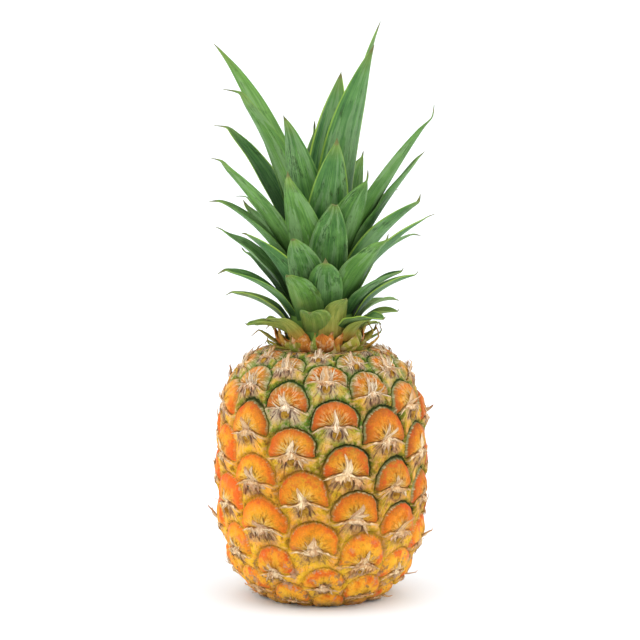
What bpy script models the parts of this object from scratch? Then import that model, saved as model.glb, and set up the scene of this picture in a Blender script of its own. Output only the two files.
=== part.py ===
"""A pineapple standing on its base: the fruit with its eyes and bract tips, the leafy crown,
the ring of short bracts round the neck, and the cut end of the stalk underneath.

Metres, +Z up, with the origin in the middle of the cut stalk's face on the surface it stands on.
The front faces -Y, and +X is on the right of someone who looks at it.
"""

import math
import random

import bmesh
import bpy
from mathutils import Matrix, Vector
from mathutils.geometry import delaunay_2d_cdt
from mathutils.kdtree import KDTree

MM = 0.001
SEED = 11

# The fruit is a turned superellipse, cut flat where it stands and where the crown grows out.
FRUIT_RADIUS = 52.8 * MM
FRUIT_WAIST = 72 * MM
FRUIT_RISE = 62 * MM
FRUIT_DROP = 75 * MM
FRUIT_POWER = 3.0
SEAT_HEIGHT = 131.5 * MM
INNERMOST_RADIUS = 13 * MM
PROFILE_STEPS = 900

# Eyes follow one spiral, in a map of the skin where every eye has the same size.
TURN = math.radians(138.03)
EYE_RISE = 1.9 * MM
FIRST_EYE_TURN = math.radians(-82)
FIRST_EYE_HEIGHT = 99 * MM
EYE_HALF_WIDTH = 12.4 * MM
EYE_HEIGHT = 15.2 * MM
EYE_POWER = 2.5
NEAREST_POINTS = 1.5 * MM

# Each eye has a curled, dry bract tip, which stands on the ledge under the eye's shield.
TIP_LENGTH = 11.5 * MM
TIP_WIDTH = 6.0 * MM
TIP_THICKNESS = 2.2 * MM
TIP_CURL = 2.5 * MM
TIP_BELOW_EYE = 1.5 * MM
LOWEST_TIP = 6 * MM
HIGHEST_TIP = SEAT_HEIGHT - 4 * MM

# The cut end of the stalk sits in a recess in the base.
STALK_RADIUS = 11 * MM
STALK_DEPTH = 6 * MM
GAP = 0.3 * MM

# The neck carries short bracts between the fruit and the crown.
NECK_RADIUS = 20 * MM
NECK_HEIGHT = 4.2 * MM
NECK_BRACTS = 13
NECK_BRACT_WIDTH = 9 * MM
NECK_BRACT_THICKNESS = 1.8 * MM
NECK_BRACT_CURL = 1.5 * MM
NECK_BRACT_ROOT = 4 * MM
NECK_BRACT_HEIGHT = 1.7 * MM

# The crown's leaves follow the same spiral up a short stem, which ends in the youngest leaf's point.
CROWN_LEAVES = 59
CROWN_FIRST_TURN = math.radians(-43)
CROWN_BASE = SEAT_HEIGHT + NECK_HEIGHT + 2 * GAP
CROWN_STEM_RADIUS = 20 * MM
CROWN_STEM_TOP_RADIUS = 8 * MM
CROWN_STEM_HEIGHT = 64 * MM
CROWN_POINT_HEIGHT = 26 * MM
LOWEST_ROOT = 1.2 * MM
CROWN_ROOT_SPAN = 46 * MM
LEAF_ROOT = 4 * MM
LOWEST_LEAF_TIP = 8 * MM
LEAF_TIP_RISE = 2.45 * MM
LOWEST_LEAF_REACH = 38 * MM
LEAF_REACH_GAIN = 60 * MM
LEAF_WIDTH = 13.5 * MM
LEAF_WIDTH_GAIN = 11 * MM
HEART_LEAVES = (54, 57, 58)
HEART_LEAF_SHARE = 0.6
CLASPING_FOOT = 0.8
CLASPING_SHARE = 0.25
LEAF_THICKNESS = 1.2 * MM
LEAF_ROWS = 6
LEAF_HOLLOW = 0.34
LEAF_EDGE = 0.4 * MM

# Leaves whose tips stray from the spiral's own place for them:
# how far to the right, to the front and up each tip is, in millimetres.
STRAY_TIPS = {
    0: (26, 25, 150),
    2: (-29, 30, 151),
    3: (31, -14, 143),
    4: (-36, -18, 141),
    5: (12, 38, 163),
    7: (-40, 17, 146),
    8: (41, 14, 153),
    10: (-6, 42, 156),
    11: (41, -26, 154),
    13: (33, 32, 151),
    15: (-18, 42, 176),
    17: (-44, -28, 181),
    18: (3, 48, 183),
    20: (-53, 15, 175),
    21: (43, 20, 175),
    23: (-15, 50, 195),
    25: (-56, -12, 194),
    28: (-40, 36, 197),
    31: (6, 50, 214),
    34: (52, 26, 213),
    36: (-18, 48, 227),
    37: (38, -30, 214),
    38: (-42, -20, 212),
    41: (-54, 30, 235),
    42: (53, 12, 236),
    43: (-52, -30, 249),
    44: (6, 46, 245),
    45: (24, -36, 232),
    46: (-45, 24, 271),
    47: (60, 30, 260),
    48: (-5, -30, 248),
    49: (-21, 38, 257),
    50: (18, -28, 262),
    51: (-55, -38, 290),
    52: (26, 38, 292),
    53: (8, -26, 275),
    54: (-10, 7, 233),
    55: (28, 12, 303),
    56: (-16, -22, 242),
    57: (2, 10, 228),
    58: (7, -8, 237),
}


def power_wave(value, exponent):
    """A sine or cosine raised to a power, with its sign kept."""
    return math.copysign(abs(value) ** exponent, value)


class Skin:
    """The fruit's smooth profile, read by v: the distance up the skin, measured in fruit radii.

    A step in v is as long as the same step round the fruit, so a round eye stays round
    and gets smaller towards both ends, where the fruit is narrower.
    """

    def __init__(self):
        self.rows = []
        bend = 2 / FRUIT_POWER
        last = None
        v = 0.0
        for step in range(1, PROFILE_STEPS):
            angle = math.pi * (step / PROFILE_STEPS - 0.5)
            radius = FRUIT_RADIUS * power_wave(math.cos(angle), bend)
            reach = FRUIT_RISE if angle > 0 else FRUIT_DROP
            height = FRUIT_WAIST + reach * power_wave(math.sin(angle), bend)
            if radius < INNERMOST_RADIUS:
                continue
            if last:
                v += math.dist(last, (radius, height)) * FRUIT_RADIUS / radius
            last = (radius, height)
            self.rows.append((v, radius, height))
        self.lowest = self.rows[0][0]
        self.highest = self.rows[-1][0]

    def at(self, v):
        """(radius, height, slope) where slope is the direction up the skin."""
        v = min(max(v, self.lowest), self.highest - 1e-9)
        low, high = 0, len(self.rows) - 1
        while high - low > 1:
            middle = (low + high) // 2
            if self.rows[middle][0] <= v:
                low = middle
            else:
                high = middle
        v0, r0, z0 = self.rows[low]
        v1, r1, z1 = self.rows[high]
        share = (v - v0) / (v1 - v0)
        slope = Vector((r1 - r0, z1 - z0)).normalized()
        return r0 + (r1 - r0) * share, z0 + (z1 - z0) * share, slope

    def v_of_height(self, height):
        return next(v for v, radius, z in self.rows if z >= height)

    def point(self, turn, v, lift=0.0):
        """A point on the skin, lifted off it by lift at the waist and by less where eyes are smaller."""
        radius, height, slope = self.at(v)
        lift *= radius / FRUIT_RADIUS
        out = radius + slope.y * lift
        return Vector((out * math.cos(turn), out * math.sin(turn), height - slope.x * lift))


SKIN = Skin()


def eye_places():
    """(turn, v, index) of every eye, counted along the spiral from the first eye."""
    v_first = SKIN.v_of_height(FIRST_EYE_HEIGHT)
    below = int((v_first - SKIN.lowest) / EYE_RISE)
    above = int((SKIN.highest - v_first) / EYE_RISE)
    return [
        (FIRST_EYE_TURN + index * TURN, v_first + index * EYE_RISE, index)
        for index in range(-below, above + 1)
    ]


def arch(angle, share):
    """A point of the arch that outlines an eye, from its right foot at 0 to its left foot at 180."""
    angle = math.radians(angle)
    bend = 2 / EYE_POWER
    across = EYE_HALF_WIDTH * share * power_wave(math.cos(angle), bend)
    return across, EYE_HEIGHT * share * power_wave(math.sin(angle), bend)


def eye_points():
    """(across, up, lift) for the points that shape one eye."""
    groove = [(*arch(30 * n, 1.09), 0.0) for n in range(7)]
    rim = [(*arch(8 + 27.3 * n, 0.9), 1.9 * MM) for n in range(7)]
    shield = [(*arch(angle, 0.45), 2.5 * MM) for angle in (25, 90, 155)]
    crease = [(x * MM, 0.1 * MM, 1.7 * MM) for x in (-6, 0, 6)]
    ledge = [(x * MM, -1.8 * MM, lift * MM) for x, lift in ((-9, 2.2), (-3, 3.2), (3, 3.2), (9, 2.2))]
    skirt = [(x * MM, -5.2 * MM, lift * MM) for x, lift in ((-5.5, 1.7), (1.8, 2.3), (8.5, 1.6))]
    return groove + rim + shield + crease + ledge + skirt


def separate_points(points):
    """Leaves out each point that lies too near an earlier one for a clean triangle."""
    tree = KDTree(len(points))
    for number, point in enumerate(points):
        tree.insert(SKIN.point(point[0], point[1]), number)
    tree.balance()
    kept = []
    dropped = set()
    for number, point in enumerate(points):
        if number in dropped:
            continue
        kept.append(point)
        reach = NEAREST_POINTS * SKIN.at(point[1])[0] / FRUIT_RADIUS
        for _, other, _ in tree.find_range(SKIN.point(point[0], point[1]), reach):
            if other > number:
                dropped.add(other)
    return kept


def fruit_mesh():
    """The skin with its eyes raised, as triangles between the points that shape the eyes.

    The triangles are found on a flat map with the fruit's foot in the middle.
    """
    points = []
    for turn, v, _ in eye_places():
        for across, up, lift in eye_points():
            if SKIN.lowest < v + up < SKIN.highest:
                points.append((turn + across / FRUIT_RADIUS, v + up, lift))
    points = separate_points(points)
    flat = []
    for turn, v, _ in points:
        distance = math.exp(v / FRUIT_RADIUS)
        flat.append(Vector((distance * math.cos(turn), distance * math.sin(turn))))
    _, _, faces, origins, _, _ = delaunay_2d_cdt(flat, [], [], 0, 1e-9)
    mesh = bpy.data.meshes.new("fruit")
    placed = [SKIN.point(*points[origin[0]]) for origin in origins]
    mesh.from_pydata(placed, [], faces)
    shape = bmesh.new()
    shape.from_mesh(mesh)
    cut_flat(shape, 0, keep_above=True)
    cut_flat(shape, SEAT_HEIGHT, keep_above=False)
    bmesh.ops.recalc_face_normals(shape, faces=shape.faces)
    shape.to_mesh(mesh)
    shape.free()
    return mesh


def cut_flat(shape, height, keep_above):
    """Cuts the shape level and closes the cut."""
    cut = bmesh.ops.bisect_plane(
        shape,
        geom=shape.verts[:] + shape.edges[:] + shape.faces[:],
        dist=1e-6,
        plane_co=(0, 0, height),
        plane_no=(0, 0, 1),
        clear_inner=keep_above,
        clear_outer=not keep_above,
    )
    edges = [item for item in cut["geom_cut"] if isinstance(item, bmesh.types.BMEdge)]
    edges = [edge for edge in edges if edge.is_boundary]
    filled = bmesh.ops.holes_fill(shape, edges=edges)
    bmesh.ops.triangulate(shape, faces=filled["faces"])


def add_object(name, mesh, collection):
    thing = bpy.data.objects.new(name, mesh)
    collection.objects.link(thing)
    return thing


def new_collection(name, shown=True):
    collection = bpy.data.collections.new(name)
    bpy.context.scene.collection.children.link(collection)
    collection.hide_render = not shown
    return collection


def finish_mesh(thing):
    """Applies the modifiers and leaves a plain mesh in their place."""
    graph = bpy.context.evaluated_depsgraph_get()
    mesh = bpy.data.meshes.new_from_object(thing.evaluated_get(graph))
    thing.modifiers.clear()
    thing.data = mesh


def fuse(thing, pieces):
    """Joins the pieces' collection to the thing in one closed body, and removes the pieces."""
    union = thing.modifiers.new("fuse", "BOOLEAN")
    union.operation = "UNION"
    union.operand_type = "COLLECTION"
    union.collection = pieces
    union.solver = "MANIFOLD"
    finish_mesh(thing)
    keep_outer_body(thing.data)
    remove_collection(pieces)


def keep_outer_body(mesh):
    """Fills the hollows that fusing sealed and drops loose scraps: the largest closed surface stays."""
    shape = bmesh.new()
    shape.from_mesh(mesh)
    waiting = set(shape.faces)
    bodies = []
    while waiting:
        body = [waiting.pop()]
        for face in body:
            for edge in face.edges:
                for other in edge.link_faces:
                    if other in waiting:
                        waiting.remove(other)
                        body.append(other)
        bodies.append(body)
    bodies.sort(key=surface_volume, reverse=True)
    spare = [face for body in bodies[1:] for face in body]
    bmesh.ops.delete(shape, geom=spare, context="FACES")
    shape.to_mesh(mesh)
    shape.free()


def surface_volume(faces):
    """The volume that a closed surface holds, negative where its faces point inwards."""
    total = 0.0
    for face in faces:
        first, *others = [vertex.co for vertex in face.verts]
        total += sum(first.dot(a.cross(b)) for a, b in zip(others, others[1:]))
    return total / 6


def remove_collection(pieces):
    for piece in list(pieces.objects):
        bpy.data.objects.remove(piece)
    bpy.data.collections.remove(pieces)


def cut_away(thing, cutter):
    cut = thing.modifiers.new("cut", "BOOLEAN")
    cut.operation = "DIFFERENCE"
    cut.object = cutter
    cut.solver = "EXACT"
    finish_mesh(thing)
    bpy.data.objects.remove(cutter)


def cylinder_mesh(name, radius_low, radius_high, low, high, sides=24):
    shape = bmesh.new()
    bmesh.ops.create_cone(
        shape, cap_ends=True, segments=sides, radius1=radius_low, radius2=radius_high, depth=high - low
    )
    bmesh.ops.translate(shape, verts=shape.verts, vec=(0, 0, (low + high) / 2))
    mesh = bpy.data.meshes.new(name)
    shape.to_mesh(mesh)
    shape.free()
    return mesh


def horn_mesh(length, width, thickness, curl):
    """A four-sided dry tip along +Z that narrows to a point and curls towards +Y."""
    shape = bmesh.new()
    bmesh.ops.create_cone(
        shape, cap_ends=True, segments=4, radius1=width / 2, radius2=width / 4, depth=length * 0.6
    )
    bmesh.ops.translate(shape, verts=shape.verts, vec=(0, 0, length * 0.3))
    bmesh.ops.scale(shape, verts=shape.verts, vec=(1, thickness / width, 1))
    top = [face for face in shape.faces if face.calc_center_median().z > length * 0.55]
    tip = bmesh.ops.poke(shape, faces=top)
    bmesh.ops.translate(shape, verts=tip["verts"], vec=(0, 0, length * 0.4))
    for vertex in shape.verts:
        vertex.co.y += curl * (vertex.co.z / length) ** 2
    bmesh.ops.recalc_face_normals(shape, faces=shape.faces)
    mesh = bpy.data.meshes.new("tip")
    shape.to_mesh(mesh)
    shape.free()
    return mesh


def add_eye_tips(fruit):
    """Fuses a curled bract tip to the ledge of every eye."""
    chance = random.Random(SEED)
    pieces = new_collection("bract tips", shown=False)
    for turn, v, _ in eye_places():
        size = chance.uniform(0.75, 1.25)
        lean = math.radians(chance.uniform(-35, 5))
        sway = math.radians(chance.uniform(-25, 25))
        radius, height, slope = SKIN.at(v - TIP_BELOW_EYE)
        if not LOWEST_TIP < height < HIGHEST_TIP:
            continue
        size *= radius / FRUIT_RADIUS
        out = Vector((slope.y * math.cos(turn), slope.y * math.sin(turn), -slope.x))
        up = Vector((slope.x * math.cos(turn), slope.x * math.sin(turn), slope.y))
        side = up.cross(out)
        mesh = horn_mesh(TIP_LENGTH * size, TIP_WIDTH * size, TIP_THICKNESS * size, TIP_CURL * size)
        along = Matrix.Rotation(sway, 3, out) @ Matrix.Rotation(lean, 3, side) @ (out + up).normalized()
        over = side.cross(along).normalized()
        if over.dot(up) < 0:
            over = -over
        across = over.cross(along)
        place = Matrix((across, over, along)).transposed().to_4x4()
        place.translation = SKIN.point(turn, v - TIP_BELOW_EYE)
        add_object("bract_tip", mesh, pieces).matrix_world = place
    fuse(fruit, pieces)


def leaf_traits(index, chance):
    """What the leaf at this place in the spiral is like, from 0 at the crown's foot."""
    share = index / (CROWN_LEAVES - 1)
    turn = CROWN_FIRST_TURN + index * TURN + math.radians(chance.uniform(-4, 4))
    reach = LOWEST_LEAF_REACH + LEAF_REACH_GAIN * (share - share**2.4) + chance.uniform(-2, 2) * MM
    tip_height = SEAT_HEIGHT + max(LOWEST_LEAF_TIP, index * LEAF_TIP_RISE)
    if index in STRAY_TIPS:
        right, front, up = STRAY_TIPS[index]
        turn = math.atan2(-front, right)
        reach = math.hypot(right, front) * MM
        tip_height = up * MM
    climb = LOWEST_ROOT + CROWN_ROOT_SPAN * share**1.5
    narrowing = (CROWN_STEM_RADIUS - CROWN_STEM_TOP_RADIUS) * min(1, climb / CROWN_STEM_HEIGHT)
    clasp = max(0, 1 - share / CLASPING_SHARE)
    root_radius = CROWN_STEM_RADIUS - narrowing - LEAF_ROOT * (1 - clasp)
    width = LEAF_WIDTH + LEAF_WIDTH_GAIN * share**0.6
    if index in HEART_LEAVES:
        width *= HEART_LEAF_SHARE
    return {
        "turn": turn,
        "root": (root_radius, CROWN_BASE + climb),
        "tip": (reach, tip_height),
        "width": width,
        "foot": 0.7 + CLASPING_FOOT * clasp,
        "fullness": 2.4 - 0.3 * share,
        "arch": 0.15 - 0.13 * share + chance.uniform(-0.03, 0.03),
        "twist": math.radians(chance.uniform(-14, 14)),
    }


def leaf_frame(traits, share):
    """Where the leaf's middle runs at this share of its length: (point, side, face)."""
    def spine(at):
        root = Vector(traits["root"])
        chord = Vector(traits["tip"]) - root
        rise = Vector((-chord.y, chord.x))
        return root + chord * at + rise * traits["arch"] * 4 * at * (1 - at)

    here = spine(share)
    ahead = spine(share + 0.01) - spine(share - 0.01)
    turn = traits["turn"]
    outward = Vector((math.cos(turn), math.sin(turn), 0))
    side = Vector((-math.sin(turn), math.cos(turn), 0))
    along = (outward * ahead.x + Vector((0, 0, ahead.y))).normalized()
    side = Matrix.Rotation(traits["twist"] * share, 3, along) @ side
    return outward * here.x + Vector((0, 0, here.y)), side, along.cross(side)


def leaf_half_width(traits, share):
    """Half the leaf's width: the foot, an even middle, then a full-sided point."""
    foot = traits["foot"] + (1 - traits["foot"]) * math.sin(math.pi / 2 * min(1, share / 0.4))
    taper = 1 - max(0, (share - 0.3) / 0.7) ** traits["fullness"]
    return max(LEAF_EDGE, traits["width"] / 2 * foot * taper)


def leaf_mesh(traits):
    """An open, channelled blade, three points wide, with its hollow side towards the stem."""
    shape = bmesh.new()
    bmesh.ops.create_grid(shape, x_segments=2, y_segments=LEAF_ROWS, size=1)
    for vertex in shape.verts:
        across = vertex.co.x
        share = 1 - ((1 - vertex.co.y) / 2) ** 1.25
        point, side, face = leaf_frame(traits, share)
        half = leaf_half_width(traits, share)
        hollow = LEAF_HOLLOW * half * across**2 * min(1, traits["foot"] - 0.4 + 2 * share)
        vertex.co = point + side * across * half + face * hollow
    bmesh.ops.triangulate(shape, faces=shape.faces)
    bmesh.ops.recalc_face_normals(shape, faces=shape.faces)
    mesh = bpy.data.meshes.new("leaf")
    shape.to_mesh(mesh)
    shape.free()
    return mesh


def crown_stem_mesh():
    """The short stem, narrowing upwards, with the rolled youngest leaf as a point on its top."""
    top = CROWN_BASE + CROWN_STEM_HEIGHT
    mesh = cylinder_mesh(
        "crown_leaves", CROWN_STEM_RADIUS, CROWN_STEM_TOP_RADIUS, CROWN_BASE, top, sides=14
    )
    shape = bmesh.new()
    shape.from_mesh(mesh)
    caps = [face for face in shape.faces if face.calc_center_median().z > top - 1e-6]
    point = bmesh.ops.poke(shape, faces=caps)
    bmesh.ops.translate(shape, verts=point["verts"], vec=(0, 0, CROWN_POINT_HEIGHT))
    shape.to_mesh(mesh)
    shape.free()
    return mesh


def add_crown(collection):
    """The crown: every leaf thickened and fused to the short stem."""
    chance = random.Random(SEED + 1)
    crown = add_object("crown_leaves", crown_stem_mesh(), collection)
    pieces = new_collection("leaves", shown=False)
    for index in range(CROWN_LEAVES):
        leaf = add_object("leaf", leaf_mesh(leaf_traits(index, chance)), pieces)
        wall = leaf.modifiers.new("wall", "SOLIDIFY")
        wall.thickness = LEAF_THICKNESS
        wall.offset = 0
        finish_mesh(leaf)
    fuse(crown, pieces)
    return crown


def add_neck(collection):
    """The disc of stem under the crown, with its short dry bracts standing out over the fruit."""
    low = SEAT_HEIGHT + GAP
    disc = cylinder_mesh("neck_bracts", NECK_RADIUS, NECK_RADIUS, low, low + NECK_HEIGHT, sides=20)
    neck = add_object("neck_bracts", disc, collection)
    chance = random.Random(SEED + 2)
    pieces = new_collection("short bracts", shown=False)
    for index in range(NECK_BRACTS):
        turn = index * TURN
        length = chance.uniform(11, 16) * MM
        mesh = horn_mesh(length, NECK_BRACT_WIDTH, NECK_BRACT_THICKNESS, NECK_BRACT_CURL)
        outward = Vector((math.cos(turn), math.sin(turn), 0))
        along = (outward + Vector((0, 0, chance.uniform(0.15, 0.35)))).normalized()
        over = (Vector((0, 0, 1)) - along * along.z).normalized()
        place = Matrix((over.cross(along), over, along)).transposed().to_4x4()
        place.translation = outward * (NECK_RADIUS - NECK_BRACT_ROOT)
        place.translation.z = low + NECK_BRACT_HEIGHT
        add_object("bract", mesh, pieces).matrix_world = place
    fuse(neck, pieces)
    return neck


def add_cut_stalk(collection, fruit):
    """The stalk's cut end, level with the base, in its recess in the fruit."""
    wide = STALK_RADIUS + GAP
    recess = cylinder_mesh("recess", wide, wide, -STALK_DEPTH, STALK_DEPTH + GAP)
    cut_away(fruit, add_object("recess", recess, collection))
    stub = cylinder_mesh("cut_stalk", STALK_RADIUS, STALK_RADIUS, 0, STALK_DEPTH)
    return add_object("cut_stalk", stub, collection)


def material(name, colour, roughness):
    finish = bpy.data.materials.new(name)
    finish.use_nodes = True
    shader = finish.node_tree.nodes["Principled BSDF"]
    shader.inputs["Base Color"].default_value = (*colour, 1)
    shader.inputs["Roughness"].default_value = roughness
    shader.inputs["Metallic"].default_value = 0
    return finish


def clear_scene():
    for thing in list(bpy.data.objects):
        bpy.data.objects.remove(thing)


def main():
    clear_scene()
    collection = new_collection("pineapple")
    fruit = add_object("fruit", fruit_mesh(), collection)
    add_eye_tips(fruit)
    stalk = add_cut_stalk(collection, fruit)
    neck = add_neck(collection)
    crown = add_crown(collection)
    fruit.data.materials.append(material("rind", (0.80, 0.34, 0.05), 0.5))
    stalk.data.materials.append(material("cut_stalk", (0.55, 0.40, 0.20), 0.8))
    neck.data.materials.append(material("dry_bract", (0.50, 0.22, 0.08), 0.7))
    crown.data.materials.append(material("leaf", (0.13, 0.28, 0.07), 0.45))


main()
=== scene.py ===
"""The finished look of a whole pineapple: rind with its eyes, dry bracts, leafy crown and cut stalk."""

import math
import random

import bpy
import numpy as np
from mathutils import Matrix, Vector


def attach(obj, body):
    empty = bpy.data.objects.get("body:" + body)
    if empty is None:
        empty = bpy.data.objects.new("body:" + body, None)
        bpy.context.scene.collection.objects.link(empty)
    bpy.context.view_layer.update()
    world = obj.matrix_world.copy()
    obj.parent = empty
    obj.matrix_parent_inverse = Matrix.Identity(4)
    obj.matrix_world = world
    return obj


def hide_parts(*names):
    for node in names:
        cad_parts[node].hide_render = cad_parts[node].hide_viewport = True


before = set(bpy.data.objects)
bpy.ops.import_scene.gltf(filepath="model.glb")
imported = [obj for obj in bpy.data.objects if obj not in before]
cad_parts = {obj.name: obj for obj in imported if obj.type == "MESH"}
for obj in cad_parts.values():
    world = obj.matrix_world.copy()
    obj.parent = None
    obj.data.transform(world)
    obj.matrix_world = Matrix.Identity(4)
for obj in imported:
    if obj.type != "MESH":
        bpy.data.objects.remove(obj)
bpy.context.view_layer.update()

MM = 0.001
MERGE_DISTANCE = 1e-6
SEED = 11

# The fruit is a turned superellipse, flat where it stands and where the crown grows out.
FRUIT_RADIUS = 52.8
FRUIT_WAIST = 72.0
FRUIT_RISE = 62.0
FRUIT_DROP = 75.0
FRUIT_POWER = 3.0
SEAT_HEIGHT = 131.5
INNERMOST_RADIUS = 12.0
FOOT_CLEARANCE = 1.3
SKIN_COLUMNS = 424
SKIN_ROWS = 226

# Eyes follow one spiral, in a map of the skin where every eye has the same size.
TURN = math.radians(138.03)
EYE_RISE = 1.9
FIRST_EYE_TURN = math.radians(-82)
FIRST_EYE_HEIGHT = 99.0
EYE_HALF_WIDTH = 12.9
EYE_HEIGHT = 14.6
EYE_POWER = 2.5
EYE_BELT = 3.0
EYE_CORNER = 7.0
EYE_WINDOW = 26.0
EYE_LOOKS = ("redness", "paleness", "dryness")
UV_SPAN = 64.0
SKIN_LIFT = 1.5
LARGEST_LIFT = 8.3
LEDGE_DROP = 1.3
LOWEST_BRACT = 0.4
BRACT_HEADROOM = 6.0

# Boxes round an eye that hold its skirt and its shield: half width, lowest and highest.
SKIRT_BOX = (16, -14, 1)
SHIELD_BOX = (20, -1.2, 20)

# In the measure of an eye's rim, which is 1 on the edge of its shield.
GROOVE_PLACE = 1.145
BETWEEN_EYES = 3.0

# The cut end of the stalk sits in a recess in the base.
STALK_RADIUS = 11.0
STALK_DEPTH = 6.0
STALK_GAP = 0.3
STALK_RINGS = ((0.7, 0), (0.9, 0.3), (2.4, 0), (2.6, 0.15), (2.2, 0))

# The neck carries short bracts between the fruit and the crown.
NECK_RADIUS = 20.0
NECK_LOW = SEAT_HEIGHT + 0.3
NECK_HEIGHT = 4.2
NECK_BRACTS = 54
NECK_BRACT_CELLS = (6, 10)

# The least and the most of each measure, for broad neck bracts and for thin ones.
BROAD_BRACT = {
    "reach": (19.5, 26),
    "height": (5, 13),
    "width": (9, 14.5),
    "hook": (-2, 4),
    "seed": (0.12, 0.8),
}
THIN_BRACT = {
    "reach": (26, 36),
    "height": (2, 12),
    "width": (3.5, 7),
    "hook": (-7, 5),
    "seed": (0.4, 1),
}

# The crown's leaves follow the same spiral up a short stem.
CROWN_LEAVES = 59
CROWN_FIRST_TURN = math.radians(-43)
CROWN_BASE = SEAT_HEIGHT + NECK_HEIGHT + 0.6
CROWN_STEM_RADIUS = 20.0
CROWN_STEM_TOP_RADIUS = 8.0
CROWN_STEM_HEIGHT = 64.0
CROWN_POINT_HEIGHT = 26.0
CROWN_POINT = ((CROWN_POINT_HEIGHT * 0.6, 0.55), (CROWN_POINT_HEIGHT * 0.4, 0.08))
LOWEST_ROOT = 1.2
CROWN_ROOT_SPAN = 46.0
LEAF_ROOT = 4.0
LOWEST_LEAF_TIP = 8.0
LEAF_TIP_RISE = 2.45
LOWEST_LEAF_REACH = 38.0
LEAF_REACH_GAIN = 60.0
LEAF_WIDTH = 13.5
LEAF_WIDTH_GAIN = 11.0
LAST_LIMP_LEAF = 48
HEART_LEAVES = (54, 57, 58)
HEART_LEAF_SHARE = 0.6
CLASPING_FOOT = 0.5
CLASPING_SHARE = 0.25
LEAF_HOLLOW = 0.34
LEAF_THICKNESS = 0.8
LEAF_MARGIN_SHARE = 0.3
LEAF_CELLS = (12, 44)

# Leaves whose tips stray from the spiral's own place for them:
# how far to the right, to the front and up each tip is, in millimetres.
STRAY_TIPS = {
    0: (26, 25, 150), 2: (-29, 30, 151), 3: (31, -14, 143), 4: (-36, -18, 141),
    5: (12, 38, 163), 7: (-40, 17, 146), 8: (41, 14, 153), 10: (-6, 42, 156),
    11: (41, -26, 154), 13: (33, 32, 151), 15: (-18, 42, 176), 17: (-44, -28, 181),
    18: (3, 48, 183), 20: (-53, 15, 175), 21: (43, 20, 175), 23: (-15, 50, 195),
    25: (-56, -12, 194), 28: (-40, 36, 197), 31: (6, 50, 214), 34: (52, 26, 213),
    36: (-18, 48, 227), 37: (38, -30, 214), 38: (-42, -20, 212), 41: (-54, 30, 235),
    42: (53, 12, 236), 43: (-52, -30, 249), 44: (6, 46, 245), 45: (24, -36, 232),
    46: (-45, 24, 271), 47: (60, 30, 260), 48: (-5, -30, 248), 49: (-21, 38, 257),
    50: (18, -28, 262), 51: (-55, -38, 290), 52: (26, 38, 292), 53: (8, -26, 275),
    54: (-10, 7, 233), 55: (28, 12, 303), 56: (-16, -22, 242), 57: (2, 10, 228),
    58: (7, -8, 237),
}

# Dry bracts of an eye: half widths of the spike in millimetres at shares of its length.
BRACT_CELLS = {"spike": (4, 12), "wing": (18, 2), "apron": (16, 6), "shred": (2, 5)}
SPIKE_STATIONS = (-0.25, -0.12, 0.0, 0.1, 0.25, 0.45, 0.7, 0.88, 1.0)
SPIKE_WIDTHS = (1.2, 2.6, 4.1, 3.2, 2.3, 1.6, 1.0, 0.6, 0.08)
WING_HALF_WIDTH = 12.0

# How many eyes have one spike, a spike that flies off the fruit, and a hanging sheet,
# and the heights between which eyes come to look like those at the top.
LONE_SPIKE_SHARE = 0.75
FLYING_SPIKE_SHARE = 0.42
APRON_SHARE = 0.45
HIGH_EYES = (96, 124)

# Shreds that hang from the ledge or rise over the shield. They root within the spread, fan out round the aim
# and stray from it, in degrees. Length, width and rise each have a least, a most and what the top adds.
HANGING_SHRED = {
    "spread": 6.5,
    "aim": 180,
    "fan": -8,
    "stray": 35,
    "measures": ((2.0, 6.5, 0), (0.5, 2.0, 0), (0.1, 1.0, 0)),
    "browned": (0.3, 1.0),
}
RISING_SHRED = {
    "spread": 4.0,
    "aim": 0,
    "fan": 9,
    "stray": 25,
    "measures": ((4, 8, 3), (0.4, 1.1, 0.5), (0.2, 2.6, 2)),
    "browned": (0, 0.5),
}

# Where the rind's colours change, and where painted light brightens its left side: heights above the table,
# or places to the right, in metres.
RIPE_BELOW = 0.076
UNRIPE_BAND = (0.085, 0.125)
TOP_BAND = (0.106, 0.126)
WORN_BAND = (0.050, 0.014)
FOOT_BAND = (0.007, 0.0015)
GOLDEN_AND_LIT_SIDE_BAND = (-0.020, -0.048)

# The studio's suns: name, turn to the right of straight ahead, fall, strength, width in degrees.
STUDIO_SUNS = (
    ("key_light", 14, 45, 1.32, 80),
    ("left_light", 80, 30, 1.55, 70),
    ("right_light", -74, 30, 1.95, 70),
    ("top_light", 180, 66, 1.2, 70),
)
STUDIO_GLOW = 0.38
FLOOR_COLOUR = (0.885, 0.935, 0.975)
STEM_GREEN = (0.15, 0.29, 0.05)
STEM_TAN = (0.40, 0.19, 0.05)

# The camera stands at the front, a little above the fruit, far enough away to flatten its perspective.
CAMERA_DISTANCE = 1.5
CAMERA_ELEVATION = math.radians(8)
CAMERA_LENS = 161
CAMERA_AIM = Vector((-0.001, 0, 0.1466))


def smooth(value, low, high):
    """0 up to low, 1 from high on, and a smooth step between them."""
    share = np.clip((value - low) / (high - low), 0, 1)
    return share * share * (3 - 2 * share)


def bell(value, middle, width):
    return np.exp(-(((value - middle) / width) ** 2))


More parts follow.
